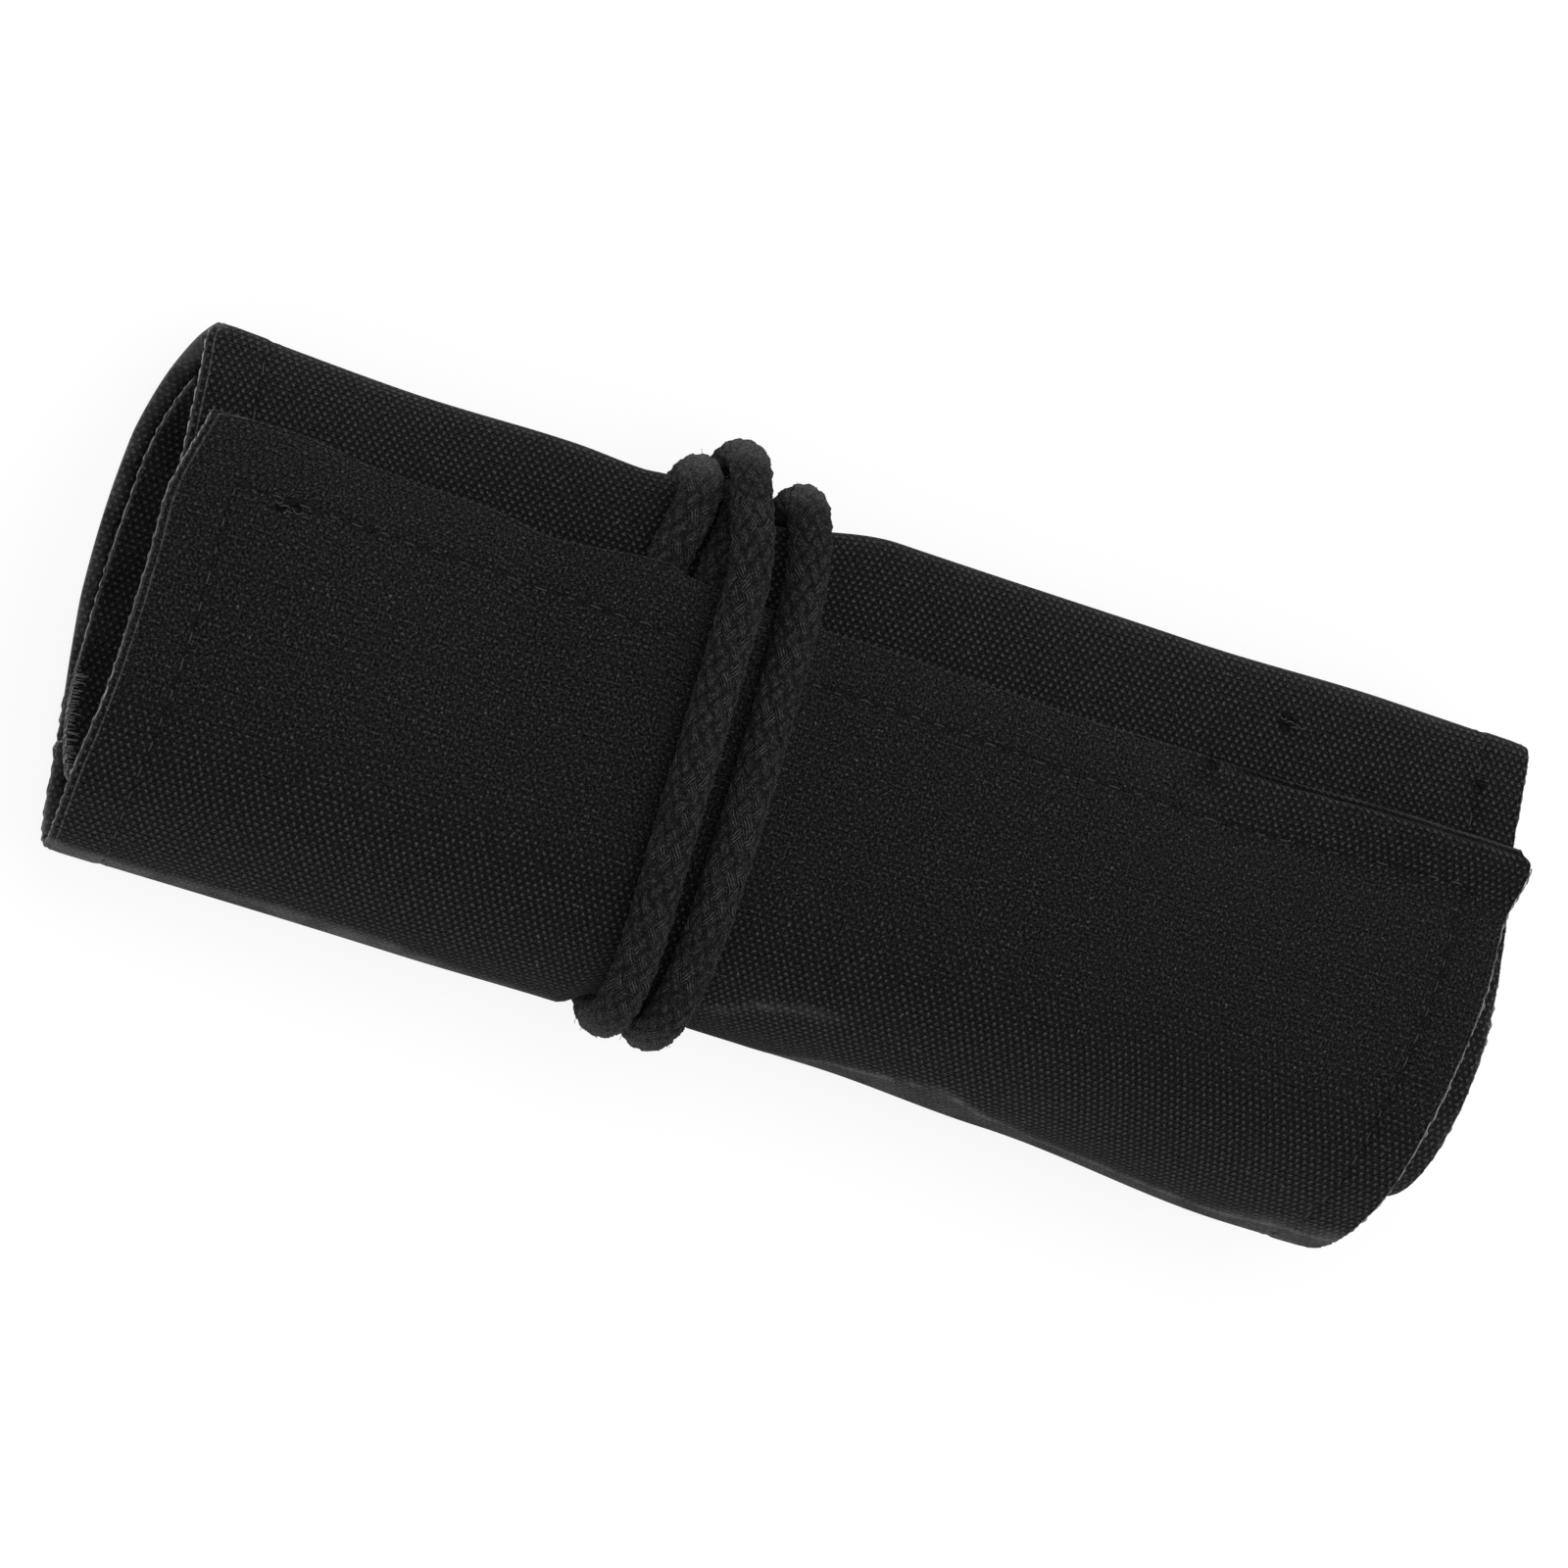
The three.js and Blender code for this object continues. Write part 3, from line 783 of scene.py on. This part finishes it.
class Shader:
    """A material whose nodes are made by calls that take sockets or numbers."""

    def __init__(self, name):
        self.material = bpy.data.materials.new(name)
        self.material.use_nodes = True
        self.tree = self.material.node_tree
        self.surface = self.tree.nodes["Principled BSDF"]

    def node(self, kind, inputs=(), **settings):
        made = self.tree.nodes.new(kind)
        for key, value in settings.items():
            setattr(made, key, value)
        for key, value in dict(inputs).items():
            if isinstance(value, bpy.types.NodeSocket):
                self.tree.links.new(value, made.inputs[key])
            else:
                made.inputs[key].default_value = value
        return made

    def math(self, operation, *values):
        return self.node("ShaderNodeMath", enumerate(values), operation=operation).outputs[0]

    def noise(self, place, scale, detail=2.0):
        inputs = {"Vector": place, "Scale": scale, "Detail": detail}
        return self.node("ShaderNodeTexNoise", inputs).outputs["Fac"]

    def ramp(self, value, low, high, start=0.0, end=1.0):
        inputs = {"Value": value, "From Min": low, "From Max": high, "To Min": start, "To Max": end}
        return self.node("ShaderNodeMapRange", inputs, interpolation_type="SMOOTHSTEP").outputs["Result"]

    def attribute(self, name):
        return self.node("ShaderNodeAttribute", attribute_name=name).outputs["Fac"]

    def wave(self, value):
        """Sine with one half wave for each step of 1."""
        return self.math("SINE", self.math("MULTIPLY", value, math.pi))

    def colours(self, value, *stops):
        made = self.node("ShaderNodeValToRGB", {"Fac": value})
        elements = made.color_ramp.elements
        while len(elements) < len(stops):
            elements.new(0.5)
        for element, (place, colour) in zip(elements, stops):
            element.position = place
            element.color = (*colour, 1)
        return made.outputs["Color"]

    def mix(self, share, one, other):
        """One colour with a share of another, which is the same all over."""
        inputs = {"Factor": share, "A": one, "B": (*other, 1)}
        return self.node("ShaderNodeMix", inputs, data_type="RGBA").outputs["Result"]

    def lay(self, along, around):
        """The piece's own two coordinates, divided by two lengths in metres."""
        uv = self.node("ShaderNodeUVMap", uv_map="lay").outputs["UV"]
        parts = self.node("ShaderNodeSeparateXYZ", {0: uv})
        return uv, self.math("DIVIDE", parts.outputs[0], along), self.math("DIVIDE", parts.outputs[1], around)

    def set(self, **values):
        for key, value in values.items():
            socket = self.surface.inputs[key.replace("_", " ")]
            if isinstance(value, bpy.types.NodeSocket):
                self.tree.links.new(value, socket)
            else:
                socket.default_value = value

    def bump(self, height, distance, strength=1.0):
        inputs = {"Height": height, "Distance": distance, "Strength": strength}
        self.set(Normal=self.node("ShaderNodeBump", inputs).outputs["Normal"])


def weave(shader, along, around, lower_share):
    """Plain weave whose yarns along the roll stand out: its height, and a random tone of each crown."""
    row = shader.math("FLOOR", around)
    step = shader.math("ADD", along, shader.math("FLOORED_MODULO", row, 2))
    over = shader.math("MULTIPLY_ADD", shader.wave(step), 0.5, 0.5)
    under = shader.math("SUBTRACT", 1, over)
    across = shader.wave(shader.math("FRACT", around))
    rise = shader.math("MULTIPLY_ADD", shader.math("POWER", over, 0.7), 0.75, 0.25)
    crown = shader.math("MULTIPLY", shader.math("POWER", across, 0.7), rise)
    lower = shader.math("MULTIPLY", shader.wave(shader.math("FRACT", along)), under)
    height = shader.math("MAXIMUM", crown, shader.math("MULTIPLY", lower, lower_share))
    column = shader.math("FLOOR", shader.math("DIVIDE", step, 2))
    cell = shader.node("ShaderNodeCombineXYZ", {0: row, 1: column})
    tone = shader.node("ShaderNodeTexWhiteNoise", {"Vector": cell.outputs[0]}, noise_dimensions="2D")
    return height, tone.outputs["Value"]


def canvas_material(name, painted_pit_shades=()):
    """Canvas, paler on its yarns' crowns as a painted highlight and darker between them as painted shade,
    paler where it is rubbed and with painted sheen at edges and folds, and darker with painted shade along
    its seams, under the flap's free edge at the right and in pits.
    """
    shader = Shader(name)
    uv, along, around = shader.lay(YARN_ALONG * MM, YARN_ROUND * MM)
    uneven = shader.attribute("uneven")
    wander = shader.ramp(uneven, 0, 1, 0.1, 0.65)
    for scale, much in ((60, 1.0), (350, wander), (1100, wander)):
        along = shader.math("MULTIPLY_ADD", shader.noise(uv, scale, 1), much, along)
        around = shader.math("MULTIPLY_ADD", shader.noise(uv, scale * 0.8, 1), much, around)
    height, tone = weave(shader, along, around, shader.ramp(uneven, 0, 1, 0.4, 0.7))
    grain = shader.ramp(shader.noise(uv, 2800, 3), 0.28, 0.72)
    # The crowns are painted paler as a highlight and the gaps between yarns darker as shade; each crown's
    # random tone is the yarn's own.
    crown = shader.math("MULTIPLY", shader.math("POWER", height, 3.8), shader.ramp(tone, 0, 1, 0.7, 1.0))
    crown = shader.math("MULTIPLY", crown, shader.ramp(uneven, 0, 1, 0.88, 0.38))
    lit = shader.math("MULTIPLY_ADD", grain, shader.ramp(uneven, 0, 1, 0.48, 0.68), crown)
    # Painted shade along the stitched rows and in the groove under the flap's free edge.
    lit = shader.math("MULTIPLY", lit, shader.ramp(shader.attribute("seam"), 0, 2, 1.0, 0.2))
    colour = shader.colours(lit, (0.1, CANVAS_DARK), (0.5, CANVAS_MIDDLE), (1.0, CANVAS_PALE))

    # Painted highlight: pale lines along the rims and a second line just inside them, where the edges catch
    # the light.
    edge = shader.attribute("edge")
    rim = shader.ramp(edge, 0.4, 0.1, 0.0, 0.4)
    second = shader.math("MULTIPLY", shader.ramp(edge, 0.85, 1.0), shader.ramp(edge, 1.25, 1.0))
    ragged = shader.ramp(shader.noise(uv, 800, 2), 0.3, 0.7, 0.25, 1.0)
    lines = shader.math("MULTIPLY", shader.math("MULTIPLY_ADD", second, 0.8, rim), ragged)
    # Wear and painted sheen along the folds and edges, patchy, with the painted rim highlights.
    patchy = shader.ramp(shader.noise(uv, 160, 3), 0.3, 0.7, 0.35, 1.0)
    patchy = shader.math("MULTIPLY", patchy, shader.math("ADD", lit, 0.3))
    wear_and_sheen = shader.math("MULTIPLY_ADD", shader.attribute("fold"), patchy, lines)
    specks = shader.ramp(shader.noise(uv, 1500, 0), 0.82, 0.87)
    wear_and_sheen = shader.math("MULTIPLY_ADD", specks, 0.8, wear_and_sheen)
    colour = shader.mix(wear_and_sheen, colour, CANVAS_WORN_AND_SHEEN)

    # Each pit is painted as a dark spot of shade.
    for (width, run), radius in painted_pit_shades:
        inputs = {0: uv, 1: (width * MM, run * MM, 0)}
        far = shader.node("ShaderNodeVectorMath", inputs, operation="DISTANCE").outputs["Value"]
        colour = shader.mix(shader.ramp(far, radius * MM, radius * MM / 2, 0.0, 0.92), colour, PIT_SHADE)
    shader.set(Base_Color=colour, Roughness=0.95, Specular_IOR_Level=0.05)
    shader.set(Sheen_Weight=0.09, Sheen_Roughness=0.3)
    shader.bump(shader.math("MULTIPLY_ADD", grain, 0.5, height), 0.0003)
    return shader.material


def thread_material(name, dark, pale):
    """Twisted thread between two greys."""
    shader = Shader(name)
    place = shader.node("ShaderNodeTexCoord").outputs["Object"]
    twist = shader.node("ShaderNodeTexWave", {"Vector": place, "Scale": 900, "Distortion": 2}).outputs["Fac"]
    shader.set(Base_Color=shader.colours(twist, (0, (dark,) * 3), (1, (pale,) * 3)))
    shader.set(Roughness=0.55, Specular_IOR_Level=0.3)
    shader.bump(twist, 0.00005)
    return shader.material


def cord_material():
    """Braided cotton: the yarns of each strand show in places, and fuzz hides them in others."""
    shader = Shader("braided_cotton")
    _, around, along = shader.lay(1, BRAID_PITCH * MM)
    place = shader.node("ShaderNodeTexCoord").outputs["Object"]
    stray = shader.math("MULTIPLY", shader.math("SUBTRACT", shader.noise(place, 420, 1), 0.5), 0.25)
    one = shader.math("MULTIPLY_ADD", shader.math("ADD", around, along), BRAID_STRANDS, stray)
    other = shader.math("MULTIPLY_ADD", shader.math("SUBTRACT", around, along), BRAID_STRANDS, stray)

    def strand(own, crossed, way):
        odd = shader.math("FLOORED_MODULO", shader.math("FLOOR", own), 2)
        sign = shader.math("MULTIPLY_ADD", odd, -2 * way, way)
        over = shader.math("MULTIPLY_ADD", shader.math("MULTIPLY", shader.wave(crossed), sign), 0.5, 0.5)
        yarns = shader.math("MULTIPLY_ADD", shader.wave(shader.math("MULTIPLY_ADD", own, 10, 0.5)), -0.5, 0.5)
        return over, yarns, shader.wave(shader.math("FRACT", own))

    over, yarns, bulge = strand(one, other, 1)
    _, other_yarns, other_bulge = strand(other, one, -1)
    on_top = shader.ramp(over, 0.42, 0.58)
    picked = shader.node("ShaderNodeMix", {"Factor": on_top, "A": other_yarns, "B": yarns}).outputs[0]
    rounded = shader.node("ShaderNodeMix", {"Factor": on_top, "A": other_bulge, "B": bulge}).outputs[0]
    clear = shader.ramp(shader.noise(place, 260, 2), 0.42, 0.62, 0.15, 1.0)
    fuzz = shader.ramp(shader.noise(place, 2600, 3), 0.32, 0.68)
    ridges = shader.math("MULTIPLY", picked, clear)
    # The middle of each strand and its yarn ridges are painted paler as a highlight, and the valleys darker
    # as shade.
    tone = shader.math("MULTIPLY_ADD", fuzz, 0.38, shader.math("MULTIPLY", ridges, 0.62))
    tone = shader.math("MULTIPLY_ADD", rounded, 0.26, tone)
    tone = shader.math("ADD", shader.math("MULTIPLY_ADD", clear, -0.26, tone), 0.08)
    colour = shader.colours(tone, (0.1, CORD_DARK), (0.5, CORD_MIDDLE), (1, CORD_PALE))
    # Wear and painted sheen where the cord turns over the folds.
    worn = shader.math("MULTIPLY", shader.attribute("worn"), shader.math("MULTIPLY_ADD", fuzz, 0.6, 0.3))
    shader.set(Base_Color=shader.mix(worn, colour, CORD_WORN_AND_SHEEN), Roughness=0.95, Specular_IOR_Level=0.05)
    shader.set(Sheen_Weight=0.03, Sheen_Roughness=0.3)
    shader.bump(shader.math("MULTIPLY_ADD", fuzz, 0.6, ridges), 0.00016)
    return shader.material


# Camera, floor and light

def make_camera():
    azimuth, elevation, roll = (math.radians(v) for v in (CAMERA_AZIMUTH, CAMERA_ELEVATION, CAMERA_ROLL))
    level = math.cos(elevation)
    back = Vector((-math.sin(azimuth) * level, -math.cos(azimuth) * level, math.sin(elevation)))
    right = (-back).cross(Vector((0, 1, 0))).normalized()
    up = right.cross(-back)
    turned = Matrix.Rotation(roll, 3, back)
    right, up = turned @ right, turned @ up
    data = bpy.data.cameras.new("camera")
    data.sensor_width = CAMERA_SENSOR
    data.lens = CAMERA_SENSOR * CAMERA_FOCAL
    camera = bpy.data.objects.new("camera", data)
    place = (Vector(CAMERA_TARGET) + back * CAMERA_DISTANCE) * MM
    camera.matrix_world = Matrix.Translation(place) @ Matrix((right, up, back)).transposed().to_4x4()
    bpy.context.scene.collection.objects.link(camera)
    bpy.context.scene.camera = camera


def seen_directly(tree):
    """1 for rays from the camera and for those that mirrors and glass pass on, else 0."""
    path = tree.nodes.new("ShaderNodeLightPath")
    total = path.outputs["Is Camera Ray"]
    for name in ("Is Glossy Ray", "Is Transmission Ray"):
        most = tree.nodes.new("ShaderNodeMath")
        most.operation = "MAXIMUM"
        tree.links.new(total, most.inputs[0])
        tree.links.new(path.outputs[name], most.inputs[1])
        total = most.outputs[0]
    return total


def make_floor():
    """A pale floor that looks almost white and still takes the object's shadow."""
    mesh = bpy.data.meshes.new("floor")
    corners = [(x * FLOOR_REACH, y * FLOOR_REACH, 0) for x, y in ((-1, -1), (1, -1), (1, 1), (-1, 1))]
    mesh.from_pydata(corners, [], [(0, 1, 2, 3)])
    floor = bpy.data.objects.new("floor", mesh)
    floor.location.z = -FLOOR_DROP
    bpy.context.scene.collection.objects.link(floor)
    material = bpy.data.materials.new("floor")
    material.use_nodes = True
    tree = material.node_tree
    paper = tree.nodes["Principled BSDF"]
    paper.inputs["Base Color"].default_value = (*PAPER, 1)
    paper.inputs["Roughness"].default_value = 0.9
    glow = tree.nodes.new("ShaderNodeEmission")
    glow.inputs["Strength"].default_value = GLOW_STRENGTH
    share = tree.nodes.new("ShaderNodeMath")
    share.operation = "MULTIPLY"
    share.inputs[1].default_value = GLOW_SHARE
    tree.links.new(seen_directly(tree), share.inputs[0])
    mix = tree.nodes.new("ShaderNodeMixShader")
    tree.links.new(share.outputs[0], mix.inputs[0])
    tree.links.new(paper.outputs[0], mix.inputs[1])
    tree.links.new(glow.outputs[0], mix.inputs[2])
    tree.links.new(mix.outputs[0], tree.nodes["Material Output"].inputs["Surface"])
    mesh.materials.append(material)


def make_light():
    """An even white sky, and one soft lamp above and behind the object."""
    world = bpy.data.worlds.new("studio")
    bpy.context.scene.world = world
    world.use_nodes = True
    tree = world.node_tree
    sky = tree.nodes["Background"]
    strength = tree.nodes.new("ShaderNodeMapRange")
    strength.inputs["To Min"].default_value = SKY_LIGHT
    strength.inputs["To Max"].default_value = 1.0
    tree.links.new(seen_directly(tree), strength.inputs["Value"])
    tree.links.new(strength.outputs["Result"], sky.inputs["Strength"])
    sky.inputs["Color"].default_value = (1, 1, 1, 1)
    data = bpy.data.lights.new("top_soft", "AREA")
    data.size = LAMP_SIZE
    data.energy = LAMP_POWER
    lamp = bpy.data.objects.new("top_soft", data)
    lamp.location = LAMP_PLACE
    lamp.rotation_euler = (Vector(LAMP_AIM) - lamp.location).to_track_quat("-Z", "Y").to_euler()
    bpy.context.scene.collection.objects.link(lamp)


bpy.context.scene.view_settings.view_transform = "Standard"
make_camera()
make_floor()
make_light()

# Cords
cotton = cord_material()
# The loose fibres are pale grey: a painted highlight of light through the cord's fuzz.
cotton_fibres = thread_material("cotton_fibres", *FIBRE_GREYS)
cord_a = cord_piece("cord_a", CORD_A, cotton, cotton_fibres)
cord_b = cord_piece("cord_b", CORD_B, cotton, cotton_fibres)
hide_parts("tie_cord_a")
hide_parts("tie_cord_b")

# Canvas: the flap and front fold, then the rest of the sheet
canvas = canvas_material("canvas", [(on_sheet(x, angle), radius) for x, angle, radius in PITS])
lining = canvas_material("lining")
row_x = np.linspace(-HALF_LENGTH + LEFT_STITCH, HALF_LENGTH - RIGHT_STITCH, 120)
flap_row = np.array([on_sheet(x, float(keyed(FLAP_ROW_AT, x))) for x in row_x]).T
sides = [Edge(True, 0, ([0], [LEFT_STITCH])), Edge(True, ROLL_LENGTH, ([0], [RIGHT_STITCH]))]
flap_end = Edge(False, 0, flap_row)
inner_end = Edge(False, SHEET_LENGTH, ([0], [END_STITCH]))
columns = spaced(0, (12, 0.5), (ROLL_LENGTH - 12, 1.1), (ROLL_LENGTH, 0.5))
columns = with_rim(columns, 0, ROLL_LENGTH, HEM / 2)
front_rows = spaced(0, (11, 0.5), (FOLD_RUN - 7, 1.1), (FOLD_RUN + 7, 0.4), (FRONT_LENGTH, 1.1))
front_rows = with_rim(front_rows, 0, None, HEM / 2)
front = cloth_piece("canvas_front", front_rows, columns, [*sides, flap_end], canvas,
                    open_rows=[len(front_rows) - 1])
inner_rows = spaced(FRONT_LENGTH, (BACK_RUN - 8, 1.6), (BACK_RUN + 8, 0.5), (BACK_RUN + 20, 0.8),
                    (INNER_RUN - 7, 1.6), (INNER_RUN + 7, 0.6), (SHEET_LENGTH - 11, 1.6), (SHEET_LENGTH, 0.6))
inner_rows = with_rim(inner_rows, None, SHEET_LENGTH, HEM / 2)
inner = cloth_piece("canvas_inner", inner_rows, columns, [*sides, inner_end], canvas, open_rows=[0])

# Pocket strip, open towards the right
pocket_runs = (float(run_at(POCKET_FROM)), float(run_at(POCKET_TO)))
pocket_rows = spaced(pocket_runs[0], (pocket_runs[1], 1.6))
pocket_rows = np.union1d(pocket_rows, spaced(INNER_RUN - 7, (INNER_RUN + 7, 0.6)))
pocket_rows = with_rim(pocket_rows, *pocket_runs, CLOTH / 2)
pocket_columns = spaced(POCKET_LEFT, (POCKET_LEFT + 6, 0.6), (POCKET_RIGHT - 8, 1.6), (POCKET_RIGHT, 0.6))
pocket_columns = with_rim(pocket_columns, POCKET_LEFT, POCKET_RIGHT, CLOTH / 2)
pocket_edges = [Edge(True, POCKET_LEFT), Edge(True, POCKET_RIGHT, ([0], [POCKET_STITCH])),
                Edge(False, pocket_runs[0]), Edge(False, pocket_runs[1])]
pocket = cloth_piece("pocket_strip", pocket_rows, pocket_columns, pocket_edges, lining, POCKET_OUTSIDE)

# Stitching: hem rows on both faces, pocket rows, tacks and overcast edge
black_thread = thread_material("thread", *STITCH_GREYS)
# The edge yarns' pale grey is partly a painted highlight of the light that catches the side edges.
pale_thread = thread_material("edge_yarn", *EDGE_YARN_GREYS)
grey_thread = thread_material("overcast_thread", *OVERCAST_GREYS)
side_widths = (LEFT_STITCH, ROLL_LENGTH - RIGHT_STITCH)
front_side_runs = [END_STITCH + 2, FRONT_LENGTH]
inner_side_runs = [FRONT_LENGTH + 1, SHEET_LENGTH - END_STITCH - 2]
front_stitches, inner_stitches = [], []
for height, way in ((CANVAS / 2, 1), (CANVAS / 2 - HEM, -1)):
    front_stitches += row_of_stitches(*flap_row, height, way)
    inner_stitches += row_of_stitches(side_widths, [SHEET_LENGTH - END_STITCH] * 2, height, way)
    for width in side_widths:
        front_stitches += row_of_stitches([width] * 2, front_side_runs, height, way)
        inner_stitches += row_of_stitches([width] * 2, inner_side_runs, height, way)
slot_widths = [POCKET_LEFT + 2, POCKET_RIGHT - 1]
for run in np.arange(run_at(POCKET_ROWS_FROM), pocket_runs[1] - 4, POCKET_SLOT):
    inner_stitches += row_of_stitches(slot_widths, [run] * 2)
    inner_stitches += row_of_stitches(slot_widths, [run] * 2, POCKET_OUTSIDE - CLOTH, -1)
front_stitches += tack(*FLAP_TACK, TACK_STITCHES)
inner_stitches += tack(*INNER_TACK, TACK_STITCHES[:4])
front_thread = make_piece("stitching_front", *joined(front_stitches), black_thread)
inner_thread = make_piece("stitching_inner", *joined(inner_stitches), black_thread)
fine = np.linspace(0, len(LOOSE_LOOP) - 1, 40)
loop = np.stack([np.interp(fine, np.arange(len(LOOSE_LOOP)), places) for places in zip(*LOOSE_LOOP)], -1)
wrapped = overcast(OVERCAST_FROM, OVERCAST_TO, OVERCAST_PITCH)
wrapped.append(thread_parts(loop, np.array([0, 0.2, 1.0]), THREAD / 2))
overcast_thread = make_piece("stitching_overcast", *joined(wrapped), grey_thread)

# Yarns that stand out along the side edges
front_yarns = [edge_yarn(0, 0.4, FRONT_LENGTH),
               edge_yarn(ROLL_LENGTH, 2.5, FRONT_LENGTH, HEM_MIDDLE + 0.3)]
inner_yarns = [edge_yarn(width, BACK_RUN + 1, SHEET_LENGTH - 0.4) for width in (0, ROLL_LENGTH)]
front_edge = make_piece("edge_yarn_front", *joined(front_yarns), pale_thread)
inner_edge = make_piece("edge_yarn_inner", *joined(inner_yarns), pale_thread)

# Bodies, and hiding the imported parts that the pieces stand for
for piece in (front, front_thread, front_edge):
    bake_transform(piece)
for piece in (inner, inner_thread, inner_edge, overcast_thread, pocket):
    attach(piece, "roll")
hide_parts("flap_canvas", "flap_left_hem", "flap_right_hem", "flap_end_hem")
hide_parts("roll_canvas", "roll_left_hem", "roll_right_hem")
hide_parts("pocket_panel")
